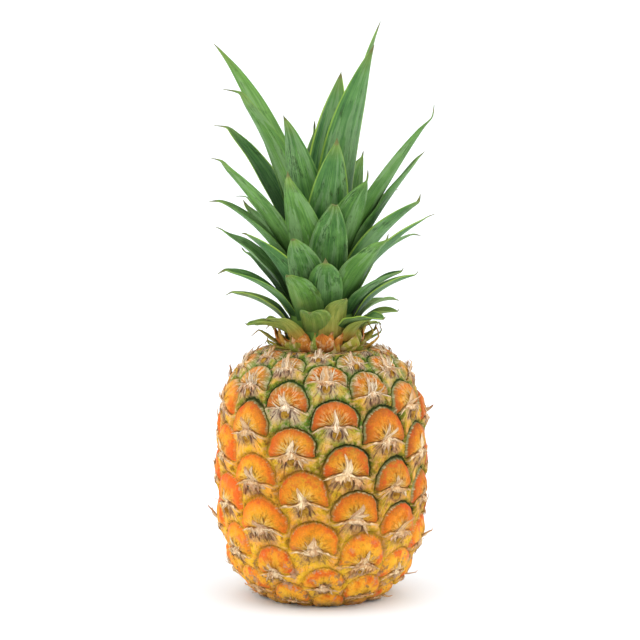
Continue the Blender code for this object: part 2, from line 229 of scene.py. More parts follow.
class Skin:
    """The fruit's smooth profile, read by v: the distance up the skin, measured in fruit radii.

    Lengths are in millimetres. A step in v is as long as the same step round the fruit,
    so a round eye stays round and gets smaller towards both ends.
    """

    def __init__(self, steps=4000):
        angle = math.pi * (np.arange(1, steps) / steps - 0.5)
        bend = 2 / FRUIT_POWER
        radius = FRUIT_RADIUS * np.cos(angle) ** bend
        reach = np.where(angle > 0, FRUIT_RISE, FRUIT_DROP)
        height = FRUIT_WAIST + reach * np.sign(np.sin(angle)) * np.abs(np.sin(angle)) ** bend
        kept = radius >= INNERMOST_RADIUS
        self.radius, self.height = radius[kept], height[kept]
        step = np.hypot(np.diff(self.radius), np.diff(self.height))
        middle = (self.radius[1:] + self.radius[:-1]) / 2
        self.v = np.concatenate([[0], np.cumsum(step * FRUIT_RADIUS / middle)])
        self.length = np.concatenate([[0], np.cumsum(step)])
        slope = np.stack([np.gradient(self.radius), np.gradient(self.height)], axis=1)
        self.slope = slope / np.linalg.norm(slope, axis=1)[:, None]

    def at(self, v):
        """(radius, height, slope outwards, slope upwards) at each v."""
        columns = (self.radius, self.height, self.slope[:, 0], self.slope[:, 1])
        return [np.interp(v, self.v, column) for column in columns]

    def v_of_height(self, height):
        return float(self.v[np.argmax(self.height >= height)])

    def points(self, turn, v, lift, headroom=1.0):
        """Points on the skin in metres, lifted off it by lift at the waist and less where eyes are small."""
        radius, height, run, rise = self.at(v)
        lift = np.minimum(lift, LARGEST_LIFT) * radius / FRUIT_RADIUS
        height = np.clip(height, FOOT_CLEARANCE, SEAT_HEIGHT)
        out = radius + rise * lift
        up = np.clip(height - run * lift, 0, SEAT_HEIGHT + headroom)
        return np.stack([out * np.cos(turn), out * np.sin(turn), up], axis=-1) * MM


SKIN = Skin()


class Eye:
    """One eye of the fruit: where it is, and how it differs from the others."""

    def __init__(self, index, chance):
        self.turn = FIRST_EYE_TURN + index * TURN
        self.v = SKIN.v_of_height(FIRST_EYE_HEIGHT) + index * EYE_RISE
        self.shift = chance.uniform(-0.6, 0.6, 2)
        self.tilt = math.radians(chance.uniform(-6, 6))
        self.size = chance.uniform(0.96, 1.04)
        self.bulge = chance.uniform(0.8, 1.3)
        self.phase = chance.uniform(0, math.tau, 4)
        self.looks = chance.uniform(0, 1, len(EYE_LOOKS))
        self.half_width = EYE_HALF_WIDTH * chance.uniform(0.90, 1.04)
        self.height = EYE_HEIGHT * chance.uniform(0.86, 1.08)
        self.power = EYE_POWER + chance.uniform(-0.5, 0.8)

    def bow(self, x):
        """How far the ledge under the eye waves up from a straight line."""
        droop = 1.3 * smooth(np.abs(x), 7.5, 13.5)
        return 1.7 * bell(x, 0, 6) - 0.3 + 0.55 * np.sin(0.42 * x + self.phase[0]) - droop

    def local(self, turn, v):
        """(across, up) from the middle of the eye's ledge, in millimetres at the waist."""
        round_turn = (turn - self.turn + math.pi) % math.tau - math.pi
        across = round_turn * FRUIT_RADIUS - self.shift[0]
        up = v - self.v - self.shift[1]
        cos, sin = math.cos(self.tilt), math.sin(self.tilt)
        x = (across * cos + up * sin) / self.size
        return x, (up * cos - across * sin) / self.size - self.bow(x)

    def place(self, x, y):
        """(turn, v) of a point given across and up from the middle of the ledge."""
        cos, sin = math.cos(self.tilt), math.sin(self.tilt)
        across, up = x * self.size, (y + self.bow(x)) * self.size
        turned = across * cos - up * sin + self.shift[0]
        return self.turn + turned / FRUIT_RADIUS, self.v + up * cos + across * sin + self.shift[1]

    def lay(self, x, y, lift):
        """Points of a bract over the eye, in metres."""
        return SKIN.points(*self.place(x, y), lift, BRACT_HEADROOM)

    def rim(self, x, y):
        """How far out a point is in the eye's arch: 0 at its middle and 1 on its edge."""
        wave = 1.0 * np.sin(0.42 * x + self.phase[0]) + 0.8 * np.sin(0.5 * y + self.phase[1])
        y = np.maximum(y + wave * 0.6, 0)
        across = np.abs(x + 0.5 * wave) / self.half_width
        above = (y - EYE_BELT) / (self.height - EYE_BELT)
        rise = np.where(y > EYE_BELT, above, (EYE_BELT - y) / EYE_CORNER)
        out = (across**self.power + rise**self.power) ** (1 / self.power)
        angle = np.arctan2(y / EYE_HEIGHT, x / EYE_HALF_WIDTH)
        teeth = np.sin(angle * 21 + self.phase[2] + 1.2 * np.sin(3 * angle + self.phase[3]))
        return out + 0.013 * teeth * smooth(out, 0.8, 0.98)

    def shield(self, x, y, rim):
        """The raised plate's lift: highest over the ledge, rounded at its edge, wrinkled round its middle."""
        low = 1 - np.clip(y / EYE_HEIGHT, 0, 1)
        angle = np.arctan2(x, y + 3)
        folds = 0.3 * np.sin(angle * 11 + self.phase[1]) + 0.15 * np.sin(angle * 23 + self.phase[2])
        dents = 0.35 * np.sin(0.7 * x + self.phase[3]) * np.sin(0.6 * y + self.phase[2])
        pillow = 0.8 * low + 1.3 * (1 - np.minimum(rim, 1) ** 2.6)
        plate = 1.5 + self.bulge * pillow + folds * bell(rim, 0.4, 0.4)
        plate = plate + dents * (1 - np.minimum(rim, 1) ** 4)
        return plate * (0.5 + 0.5 * smooth(y, -0.2, 2.4))

    def skirt(self, x, y):
        """The dry ledge under the shield, and the skin that falls from it in folds round a small knob."""
        wing = (0.6 + 0.4 * bell(x, 0, 5)) * (1 - smooth(np.abs(x), 11.5, 14.5))
        fall = np.where(y > -LEDGE_DROP, 0.9, 4.0)
        ledge = 2.1 * wing * bell(y, -LEDGE_DROP, fall)
        angle = np.arctan2(x, 3.5 - y)
        folds = 0.34 * np.sin(15 * angle + 1.6 * np.sin(0.5 * y + self.phase[2]) + self.phase[1])
        folds = (folds + 0.16 * np.sin(37 * angle + self.phase[3])) * bell(y, -4.2, 3.6)
        far = np.sqrt(((x - 0.4) / 2.5) ** 2 + ((y + 5.0) / 2.9) ** 2)
        knob = np.sqrt(np.clip(1 - far**2, 0, 1)) * (0.3 + 0.8 * self.looks[0])
        return SKIN_LIFT + ledge + folds + knob - 0.6 * bell(far, 1.2, 0.22)

    def cover(self, x, y):
        """The lift of the skin that a bract lies on."""
        return np.where(y > -0.4, self.shield(x, y, self.rim(x, y)), self.skirt(x, y))


def fruit_eyes():
    v_first = SKIN.v_of_height(FIRST_EYE_HEIGHT)
    below = int((v_first - SKIN.v[0]) / EYE_RISE)
    above = int((SKIN.v[-1] - v_first) / EYE_RISE)
    chance = np.random.default_rng(SEED)
    return [Eye(index, chance) for index in range(-below, above + 1)]


EYES = fruit_eyes()


def deselect():
    if bpy.context.mode != "OBJECT":
        bpy.ops.object.mode_set(mode="OBJECT")
    bpy.ops.object.select_all(action="DESELECT")


def choose(thing):
    deselect()
    thing.select_set(True)
    bpy.context.view_layer.objects.active = thing


def new_sheet(name, across, along):
    """A flat sheet of cells from -1 to 1 both ways, as a start for a piece that is shaped point by point."""
    deselect()
    bpy.ops.mesh.primitive_grid_add(x_subdivisions=across, y_subdivisions=along, size=2, location=(0, 0, 0))
    sheet = bpy.context.object
    sheet.name = sheet.data.name = name
    return sheet


def new_shape(name, add, **measures):
    """A primitive of these measures, with its place kept in its mesh."""
    deselect()
    add(**measures)
    shape = bpy.context.object
    shape.name = shape.data.name = name
    bpy.ops.object.transform_apply(location=True, rotation=True, scale=True)
    return shape


def read_points(mesh):
    points = np.empty(len(mesh.vertices) * 3, np.float32)
    mesh.vertices.foreach_get("co", points)
    return points.reshape(-1, 3).astype(float)


def write_points(mesh, points):
    mesh.vertices.foreach_set("co", points.astype(np.float32).ravel())
    mesh.update()


def add_value(mesh, name, values, domain="POINT"):
    """Keeps a number for each point or face, or one for all, for the materials to read."""
    layer = mesh.attributes.new(name, "FLOAT", domain)
    layer.data.foreach_set("value", np.full(len(layer.data), values, np.float32))


def apply_modifier(thing, modifier):
    choose(thing)
    bpy.ops.object.modifier_apply(modifier=modifier.name)


def thicken(thing, thickness, offset, edge_share=1.0):
    """A wall for a sheet. With an edge share, its body group makes it thinner towards the sides."""
    wall = thing.modifiers.new("wall", "SOLIDIFY")
    wall.thickness = thickness * MM
    wall.offset = offset
    wall.use_even_offset = False
    if edge_share < 1:
        wall.vertex_group = "body"
        wall.thickness_vertex_group = edge_share
    return wall


def merge_points(thing):
    choose(thing)
    bpy.ops.object.mode_set(mode="EDIT")
    bpy.ops.mesh.select_all(action="SELECT")
    bpy.ops.mesh.remove_doubles(threshold=MERGE_DISTANCE)
    bpy.ops.mesh.normals_make_consistent(inside=False)
    bpy.ops.object.mode_set(mode="OBJECT")


def join(name, things):
    deselect()
    for thing in things:
        thing.select_set(True)
    bpy.context.view_layer.objects.active = things[0]
    bpy.ops.object.join()
    joined = bpy.context.object
    joined.name = joined.data.name = name
    return joined


def copy_of(sheet, name):
    copy = bpy.data.objects.new(name, sheet.data.copy())
    bpy.context.scene.collection.objects.link(copy)
    return copy


def remove(thing):
    mesh = thing.data
    bpy.data.objects.remove(thing)
    bpy.data.meshes.remove(mesh)


def dress(piece, node, slot, *finishes):
    """Gives the piece its finishes, its place in the part and the node that it stands for."""
    piece.data.materials.clear()
    for finish in finishes:
        piece.data.materials.append(finish)
    choose(piece)
    bpy.ops.object.shade_smooth()
    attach(piece, "root")
    if node:
        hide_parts(node)


def around(eye, turn, v, half_width, low, high):
    """(numbers, x, y) of the points that lie in a box round the eye."""
    near = np.flatnonzero(np.abs(v - eye.v) < EYE_WINDOW)
    x, y = eye.local(turn[near], v[near])
    close = (np.abs(x) < half_width) & (y < high) & (y > low)
    return near[close], x[close], y[close]


def relief(turn, v):
    """(lift, rim) over the whole skin, with the arch of every eye cut into the skirts above it."""
    lift = np.full(turn.shape, SKIN_LIFT)
    rim = np.full(turn.shape, BETWEEN_EYES)
    for eye in EYES:
        near, x, y = around(eye, turn, v, *SKIRT_BOX)
        lift[near] = np.maximum(lift[near], eye.skirt(x, y))
    for eye in EYES:
        near, x, y = around(eye, turn, v, *SHIELD_BOX)
        out = eye.rim(x, y)
        inside = eye.shield(x, y, out) * (1 - smooth(out, 0.9, 1.05))
        beside = lift[near] * smooth(out, 1.05, 1.2)
        on = smooth(y, -0.6, 0.5) * (1 - smooth(out, 1.2, 1.25))
        lift[near] = lift[near] * (1 - on) + (inside + beside) * on
        rim[near] = np.minimum(rim[near], out + 1.5 * np.clip(-y / 0.8, 0, 1))
    return lift, rim


def nearest_eye(turn, v):
    """The number of the eye that each point belongs to: its shield, or the skirt that it lies in."""
    best = np.full(turn.shape, 1e9)
    owner = np.zeros(turn.shape, int)
    for number, eye in enumerate(EYES):
        near = np.flatnonzero(np.abs(v - eye.v) < EYE_WINDOW)
        x, y = eye.local(turn[near], v[near])
        inside = (y > -0.3) & (eye.rim(x, y) < 1.12)
        far = np.where(inside, 0, 1 + np.hypot(x / 11, (y + 4) / 6.5))
        nearer = far < best[near]
        best[near[nearer]] = far[nearer]
        owner[near[nearer]] = number
    return owner


def make_rind():
    """The whole skin as one sheet wrapped round the fruit, its eyes raised by formula, closed underneath."""
    rind = new_sheet("rind", SKIN_COLUMNS, SKIN_ROWS)
    mesh = rind.data
    flat = read_points(mesh)
    turn = flat[:, 0] * math.pi
    length = (flat[:, 1] + 1) / 2 * SKIN.length[-1]
    v = np.interp(length, SKIN.length, SKIN.v)
    lift, rim = relief(turn, v)
    write_points(mesh, SKIN.points(turn, v, lift))
    add_value(mesh, "rim", rim)
    corners = np.empty(len(mesh.loops), np.int32)
    mesh.loops.foreach_get("vertex_index", corners)
    corners = corners.reshape(-1, 4)
    owner = nearest_eye(turn[corners].mean(axis=1), v[corners].mean(axis=1))
    places = np.empty((len(mesh.polygons), 4, 2))
    for number, eye in enumerate(EYES):
        mine = np.flatnonzero(owner == number)
        x, y = eye.local(turn[corners[mine]], v[corners[mine]])
        places[mine] = np.stack([x, y], axis=-1)
    uv = mesh.uv_layers[0]
    uv.name = "eye"
    uv.data.foreach_set("uv", (0.5 + places / UV_SPAN).astype(np.float32).ravel())
    looks = np.array([eye.looks for eye in EYES])[owner]
    for place, name in enumerate(EYE_LOOKS):
        add_value(mesh, name, looks[:, place], "FACE")
    merge_points(rind)
    close_rind(rind)
    return rind


def close_rind(rind):
    """Runs the open foot up into the stalk's recess and closes it, and closes the top under the crown."""
    choose(rind)
    bpy.ops.object.mode_set(mode="EDIT")
    bpy.ops.mesh.select_mode(type="EDGE")
    wide = (STALK_RADIUS + STALK_GAP) * MM
    for top in (False, True):
        bpy.ops.mesh.select_all(action="DESELECT")
        bpy.ops.mesh.select_non_manifold(extend=False)
        bpy.ops.object.mode_set(mode="OBJECT")
        for edge in rind.data.edges:
            middle = rind.data.vertices[edge.vertices[0]].co.z
            edge.select = edge.select and (middle > 0.05) == top
        bpy.ops.object.mode_set(mode="EDIT")
        if not top:
            radius = INNERMOST_RADIUS * MM
            bpy.ops.mesh.extrude_region_move()
            bpy.ops.transform.resize(value=(wide / radius, wide / radius, 1), center_override=(0, 0, 0))
            bpy.ops.mesh.extrude_region_move(TRANSFORM_OT_translate={"value": (0, 0, STALK_DEPTH * MM)})
        bpy.ops.mesh.fill(use_beauty=True)
    bpy.ops.mesh.select_all(action="SELECT")
    bpy.ops.mesh.normals_make_consistent(inside=False)
    bpy.ops.object.mode_set(mode="OBJECT")


def shape_spike(eye, flat, length, wide, rise, sway, curl):
    """A pointed papery bract that stands up from the ledge over the shield, softly at its foot."""
    t = SPIKE_STATIONS[0] + (flat[:, 1] + 1) / 2 * (1 - SPIKE_STATIONS[0])
    half = wide * np.interp(t, SPIKE_STATIONS, SPIKE_WIDTHS)
    uneven = 0.08 * np.sin(11 * t + eye.phase[0]) * np.sign(flat[:, 0])
    half = half * (1 + uneven + 0.05 * np.sin(31 * t + eye.phase[1]))
    above = np.maximum(t, 0)
    x = flat[:, 0] * half + sway * above**1.6 + 0.35 * np.sin(7 * t + eye.phase[2]) * smooth(t, 0, 0.4)
    y = -LEDGE_DROP - 0.2 + np.where(t > 0, length * t, 9 * t)
    under = eye.cover(x, y)
    off = 0.25 + 0.9 * bell(t, 0.02, 0.2) + rise * above**1.5 + curl * np.maximum(t - 0.5, 0) ** 2 * 4
    free = smooth(t, 0.15, 0.7)
    keel = 0.5 * half * np.abs(flat[:, 0]) ** 1.4
    bound = under + np.maximum(off - keel * 1.8, 0.06)
    flying = under * (1 - free) + eye.cover(sway * t, y) * free + off - keel
    return eye.lay(x, y, np.maximum(bound * (1 - free) + flying * free, under + 0.06))


def shape_wing(eye, flat, height):
    """A thin torn membrane along the ledge, from corner to corner of the eye."""
    x = flat[:, 0] * WING_HALF_WIDTH
    t = (flat[:, 1] + 1) / 2
    wave = 0.6 * np.sin(1.1 * x + eye.phase[1]) + 0.4 * np.sin(3.1 * x + eye.phase[2])
    ends = 1 - (np.abs(flat[:, 0])) ** 5
    y = -LEDGE_DROP + 0.1 + t * (0.65 + 0.6 * wave) * ends
    lift = eye.cover(x, y) + 0.1 + t * height * (1 + 0.5 * wave) * ends * (0.45 + 0.55 * bell(x, 0, 6))
    return eye.lay(x, y, lift)


def shape_shred(eye, flat, root, direction, length, width, rise):
    """A dry shred that starts on the ledge and lifts off the skin towards its tip."""
    t = (flat[:, 1] + 1) / 2
    half = width / 2 * (1 - t) ** 0.7 * (1 + 0.25 * np.sin(9 * t + 5 * root)) + 0.05
    along = length * t
    bend = 0.3 * length * t**2 * math.sin(eye.phase[3] + 3 * root)
    x = root + math.sin(direction) * along + flat[:, 0] * half * math.cos(direction) + bend
    y = -LEDGE_DROP - 0.3 + math.cos(direction) * along - flat[:, 0] * half * math.sin(direction)
    return eye.lay(x, y, eye.cover(x, y) + 0.2 + rise * t**1.4 + 0.12 * np.sin(7 * t + root))


def shape_apron(eye, flat, half_width, length, chance):
    """A papery sheet that hangs from the ledge in folds and splits into ragged strips."""
    a, t = flat[:, 0], (flat[:, 1] + 1) / 2
    phase = chance.uniform(0, math.tau)
    ragged = 0.50 + 0.25 * np.sin(5.3 * a + phase) + 0.40 * np.sin(23 * a + 2 * phase)
    middle = 1 - 0.65 * bell(a * half_width, 0.4, 1.9)
    x = a * half_width * (0.85 + 0.30 * t) + 0.3 * np.sin(3 * t + phase)
    y = -LEDGE_DROP - 0.1 - length * np.clip(ragged, 0.12, 1.1) * middle * t
    folds = 0.3 * np.sin(9 * a + phase) * smooth(t, 0, 0.5) + 0.25 * np.sin(21 * a + 3 * phase) * t
    return eye.lay(x, y, eye.cover(x, y) + 0.25 + folds * 0.6 + 0.9 * t**2 * chance.random())


def make_eye_bracts():
    """Every eye's dry bract, torn membrane, hanging paper and shreds, joined in one piece."""
    sheets = {kind: new_sheet(kind, *cells) for kind, cells in BRACT_CELLS.items()}
    flats = {name: read_points(sheet.data) for name, sheet in sheets.items()}
    chance = random.Random(SEED)
    pieces = []

    def add(kind, browned, points):
        points[:, 2] = np.maximum(points[:, 2], LOWEST_BRACT * MM)
        piece = copy_of(sheets[kind], kind)
        write_points(piece.data, points)
        add_value(piece.data, "seed", chance.random())
        add_value(piece.data, "browned", browned)
        pieces.append(piece)

    def add_shreds(count, eye, high, kind):
        for _ in range(count):
            root = chance.uniform(-kind["spread"], kind["spread"])
            direction = kind["aim"] + kind["fan"] * root + chance.uniform(-kind["stray"], kind["stray"])
            measures = [chance.uniform(least, most) + more * high for least, most, more in kind["measures"]]
            points = shape_shred(eye, flats["shred"], root, math.radians(direction), *measures)
            add("shred", chance.uniform(*kind["browned"]), points)

    for eye in EYES:
        height = float(SKIN.at(eye.v)[1])
        if not 2.5 < height < SEAT_HEIGHT - 1:
            continue
        high = float(smooth(height, *HIGH_EYES))
        for prong in range(1 if chance.random() < LONE_SPIKE_SHARE - 0.6 * high else 2):
            length = chance.uniform(5.5, 11.0) + 4 * high - 2 * prong
            sway = chance.uniform(-2.2, 2.2) + prong * chance.choice((-3, 3))
            flying = chance.random() < FLYING_SPIKE_SHARE
            rise = chance.uniform(4.0, 7.0) if flying else chance.uniform(0.1, 1.6)
            curl = chance.uniform(-3, 5) if flying else 0
            browned = chance.uniform(0.5, 1.0) if flying else chance.uniform(0, 0.4)
            wide = 1.35 if flying else chance.uniform(0.6, 1.1)
            add("spike", browned, shape_spike(eye, flats["spike"], length, wide, rise, sway, curl))
        add("wing", chance.uniform(0.2, 0.8), shape_wing(eye, flats["wing"], chance.uniform(0.5, 1.2)))
        if chance.random() < APRON_SHARE + 0.4 * high:
            half_width, length = chance.uniform(3.5, 7.5), chance.uniform(4.0, 7.5)
            browned = chance.uniform(0.3, 1.0)
            add("apron", browned, shape_apron(eye, flats["apron"], half_width, length, chance))
        add_shreds(chance.randint(1, 5), eye, high, HANGING_SHRED)
        add_shreds(chance.randint(0, 2) + round(6 * high), eye, high, RISING_SHRED)
    for sheet in sheets.values():
        remove(sheet)
    bracts = join("eye_bracts", pieces)
    bracts.data.uv_layers[0].name = "sheet"
    apply_modifier(bracts, thicken(bracts, 0.2, 0))
    return bracts


def leaf_traits(index, chance, detail):
    """What the leaf at this place in the spiral is like, from 0 at the crown's foot."""
    share = index / (CROWN_LEAVES - 1)
    turn = CROWN_FIRST_TURN + index * TURN + math.radians(chance.uniform(-4, 4))
    reach = LOWEST_LEAF_REACH + LEAF_REACH_GAIN * (share - share**2.4) + chance.uniform(-2, 2)
    tip_height = SEAT_HEIGHT + max(LOWEST_LEAF_TIP, index * LEAF_TIP_RISE)
    if index in STRAY_TIPS:
        right, front, up = STRAY_TIPS[index]
        turn = math.atan2(-front, right)
        reach = math.hypot(right, front)
        tip_height = up
    climb = LOWEST_ROOT + CROWN_ROOT_SPAN * share**1.5
    narrowing = (CROWN_STEM_RADIUS - CROWN_STEM_TOP_RADIUS) * min(1, climb / CROWN_STEM_HEIGHT)
    clasp = max(0, 1 - share / CLASPING_SHARE)
    root_radius = CROWN_STEM_RADIUS - narrowing - LEAF_ROOT * (1 - clasp)
    width = (LEAF_WIDTH + LEAF_WIDTH_GAIN * share**0.6) * (1 - 0.18 * clasp)
    if index in HEART_LEAVES:
        width *= HEART_LEAF_SHARE
    upper = index > LAST_LIMP_LEAF
    return {
        "turn": turn,
        "root": Vector((root_radius, CROWN_BASE + climb)),
        "tip": Vector((reach, tip_height)),
        "width": width,
        "foot": 0.7 + CLASPING_FOOT * clasp,
        "fullness": 2.4 - 0.3 * share,
        "arch": 0.15 - 0.13 * share + chance.uniform(-0.03, 0.03),
        "twist": math.radians(chance.uniform(-14, 14)),
        "hollow": LEAF_HOLLOW,
        "hook": detail.uniform(0, 0.5) if upper else detail.uniform(-0.7, 0.5),
        "curl": 0 if upper else detail.uniform(-2.6, 3.0),
        "whip": 0 if upper else detail.choice((0, 0, 0.03, 0.06)),
        "sway": detail.uniform(-0.03, 0.03),
        "wave": detail.uniform(0.2, 1.0),
        "phase": detail.uniform(0, math.tau),
    }


def shape_leaf(traits, flat):
    """A channelled blade with its hollow side towards the stem, wavy margins and a hooked point."""
    across, along = flat[:, 0], flat[:, 1]
    share = 1 - ((1 - along) / 2) ** 1.25
    root, tip = np.array(traits["root"]), np.array(traits["tip"])
    chord = tip - root
    length = np.linalg.norm(chord)
    rise = np.array([-chord[1], chord[0]])

    def spine(at):
        bow = traits["arch"] * 4 * at * (1 - at)
        hook = -0.7 * traits["hook"] * np.maximum(at - 0.86, 0) ** 1.5
        hook = hook - traits["curl"] * np.maximum(at - 0.94, 0) ** 1.3
        return root + chord * at[:, None] + rise * (bow + hook)[:, None]

    here = spine(share)
    ahead = spine(share + 0.005) - spine(share - 0.005)
    ahead /= np.linalg.norm(ahead, axis=1)[:, None]
    turn = traits["turn"]
    outward = np.array([math.cos(turn), math.sin(turn), 0])
    level = np.array([-math.sin(turn), math.cos(turn), 0])
    up = np.array([0, 0, 1])
    tangent = outward * ahead[:, :1] + up * ahead[:, 1:]
    face = np.cross(tangent, level)
    twist = (traits["twist"] * share)[:, None]
    side = level * np.cos(twist) - face * np.sin(twist)
    face = np.cross(tangent, side)
    foot = traits["foot"] + (1 - traits["foot"]) * np.sin(math.pi / 2 * np.minimum(1, share / 0.4))
    blade_share = np.minimum(1, share / (1 - traits["whip"]))
    taper = 1 - np.maximum(0, (blade_share - 0.3) / 0.7) ** traits["fullness"]
    half = np.maximum(0.55 * np.clip((1.01 - share) / 0.04, 0, 1), traits["width"] / 2 * foot * taper)
    half = np.minimum(half, traits["width"])
    hollow = traits["hollow"] * half * np.abs(across) ** 1.7
    hollow *= np.minimum(1, traits["foot"] - 0.4 + 2 * share)
    ripple = np.sin(share * 21 * traits["wave"] + traits["phase"] + across) * across**2
    ripple = ripple * 0.3 * traits["wave"] * smooth(share, 0.1, 0.4) * smooth(half, 0.5, 3)
    middle = outward * here[:, :1] + up * here[:, 1:]
    middle += level * (traits["sway"] * length * smooth(share, 0.3, 1) * share)[:, None]
    return (middle + side * (across * half)[:, None] + face * (hollow + ripple)[:, None]) * MM


def add_body_group(thing, flat):
    """How thick the blade is at each point: full in the middle and thin along its margins."""
    group = thing.vertex_groups.new(name="body")
    weights = 1 - np.abs(flat[:, 0]) ** 2.5
    weights *= 1 - 0.7 * smooth(flat[:, 1], 0.6, 1)
    for number, weight in enumerate(weights):
        group.add([number], float(weight), "REPLACE")


def make_blades(name, cells, leaves, back_finish=0):
    """Copies of one blade in one piece. Each leaf gives its traits and the numbers that its look reads."""
    blade = new_sheet("blade", *cells)
    flat = read_points(blade.data)
    add_body_group(blade, flat)
    pieces = []
    for traits, numbers in leaves:
        piece = copy_of(blade, "blade")
        piece.vertex_groups.new(name="body")
        write_points(piece.data, shape_leaf(traits, flat))
        for number, value in numbers.items():
            add_value(piece.data, number, value)
        pieces.append(piece)
    remove(blade)
    blades = join(name, pieces)
    blades.data.uv_layers[0].name = "sheet"
    wall = thicken(blades, LEAF_THICKNESS, 0, edge_share=LEAF_MARGIN_SHARE)
    wall.material_offset = back_finish
    apply_modifier(blades, wall)
    return blades


def crown_leaves():
    chance = random.Random(SEED + 1)
    detail = random.Random(SEED + 21)
    for index in range(CROWN_LEAVES):
        traits = leaf_traits(index, chance, detail)
        yield traits, {"seed": detail.random(), "age": 1 - index / (CROWN_LEAVES - 1)}


def make_crown_stem():
    """The short stem under the leaves, ending in the rolled youngest leaf."""
    stem = new_shape(
        "crown_stem",
        bpy.ops.mesh.primitive_cone_add,
        vertices=48,
        radius1=(CROWN_STEM_RADIUS - 1) * MM,
        radius2=(CROWN_STEM_TOP_RADIUS - 1) * MM,
        depth=CROWN_STEM_HEIGHT * MM,
        location=(0, 0, (CROWN_BASE + CROWN_STEM_HEIGHT / 2) * MM),
    )
    top = (CROWN_BASE + CROWN_STEM_HEIGHT) * MM
    for face in stem.data.polygons:
        face.select = len(face.vertices) > 4 and face.center.z > top - 1e-5
    bpy.ops.object.mode_set(mode="EDIT")
    bpy.ops.mesh.select_mode(type="FACE")
    for rise, share in CROWN_POINT:
        bpy.ops.mesh.extrude_region_move(TRANSFORM_OT_translate={"value": (0, 0, rise * MM)})
        bpy.ops.transform.resize(value=(share, share, 1), center_override=(0, 0, top))
    bpy.ops.object.mode_set(mode="OBJECT")
    return stem


def neck_bracts():
    """Three of five bracts are broad, and the others are thin and curled."""
    chance = random.Random(SEED + 2)
    for index in range(NECK_BRACTS):
        broad = index % 5 < 3
        kind = BROAD_BRACT if broad else THIN_BRACT
        reach = chance.uniform(*kind["reach"])
        height = chance.uniform(*kind["height"])
        traits = {
            "turn": index * TURN + chance.uniform(-0.15, 0.15),
            "root": Vector((NECK_RADIUS - 1.8, NECK_LOW - 0.9)),
            "tip": Vector((reach, NECK_LOW + height)),
            "width": chance.uniform(*kind["width"]),
            "foot": 0.9,
            "fullness": chance.uniform(1.2, 2.0),
            "arch": chance.uniform(-0.20, 0.04),
            "twist": chance.uniform(-0.5, 0.5),
            "hollow": 0.4,
            "hook": chance.uniform(*kind["hook"]),
            "curl": chance.uniform(-3, 3) if broad else chance.choice((-9, -5, 5, 9)),
            "whip": 0,
            "sway": chance.uniform(-0.3, 0.3),
            "wave": 1.0,
            "phase": chance.uniform(0, math.tau),
        }
        yield traits, {"seed": chance.uniform(*kind["seed"])}


def make_neck_disc():
    """The neck itself, a low round step under its bracts."""
    disc = new_shape(
        "neck_stem",
        bpy.ops.mesh.primitive_cylinder_add,
        vertices=64,
        radius=(NECK_RADIUS - 1.5) * MM,
        depth=NECK_HEIGHT * MM,
        location=(0, 0, (NECK_LOW + NECK_HEIGHT / 2) * MM),
    )
    bevel = disc.modifiers.new("edge", "BEVEL")
    bevel.width = 0.8 * MM
    bevel.segments = 3
    apply_modifier(disc, bevel)
    return disc


def make_cut_stalk():
    """The stalk's cut end, level with the base and ringed where its layers dried apart."""
    stalk = new_shape(
        "stalk_end",
        bpy.ops.mesh.primitive_cylinder_add,
        vertices=96,
        radius=STALK_RADIUS * MM,
        depth=STALK_DEPTH * MM,
        location=(0, 0, STALK_DEPTH / 2 * MM),
    )
    for face in stalk.data.polygons:
        face.select = face.normal.z < -0.5
    bpy.ops.object.mode_set(mode="EDIT")
    bpy.ops.mesh.select_mode(type="FACE")
    for thickness, sunk in STALK_RINGS:
        bpy.ops.mesh.inset(thickness=thickness * MM, depth=-sunk * MM)
    bpy.ops.object.mode_set(mode="OBJECT")
    return stalk


class Value:
    """A number on a material's sheet: arithmetic on it adds the Math nodes that work it out."""

    def __init__(self, look, socket):
        self.look = look
        self.socket = socket

    def math(self, operation, *inputs):
        return self.look.node("ShaderNodeMath", {"operation": operation}, *inputs)

    def __add__(self, other):
        return self.math("ADD", self, other)

    def __sub__(self, other):
        return self.math("SUBTRACT", self, other)

    def __rsub__(self, other):
        return self.math("SUBTRACT", other, self)

    def __mul__(self, other):
        return self.math("MULTIPLY", self, other)

    def __truediv__(self, other):
        return self.math("DIVIDE", self, other)

    def __rtruediv__(self, other):
        return self.math("DIVIDE", other, self)

    def __pow__(self, other):
        return self.math("POWER", self, other)

    def __abs__(self):
        return self.math("ABSOLUTE", self)

    __radd__ = __add__
    __rmul__ = __mul__

    def at_least(self, other):
        return self.math("MAXIMUM", self, other)

    def turn(self, other):
        """The turn from straight up of a point that is this far across and the other far up."""
        return self.math("ARCTAN2", self, other)

    def step(self, low, high):
        """0 up to low, 1 from high on, and a smooth step between them. high may be below low."""
        if low > high:
            return 1 - self.step(high, low)
        settings = {"interpolation_type": "SMOOTHSTEP"}
        return self.look.node("ShaderNodeMapRange", settings, self, low, high, 0, 1)

    def bell(self, middle, width):
        """1 at the middle, falling to 0 at width on both sides."""
        return 1 - abs(self - middle).step(0, width)


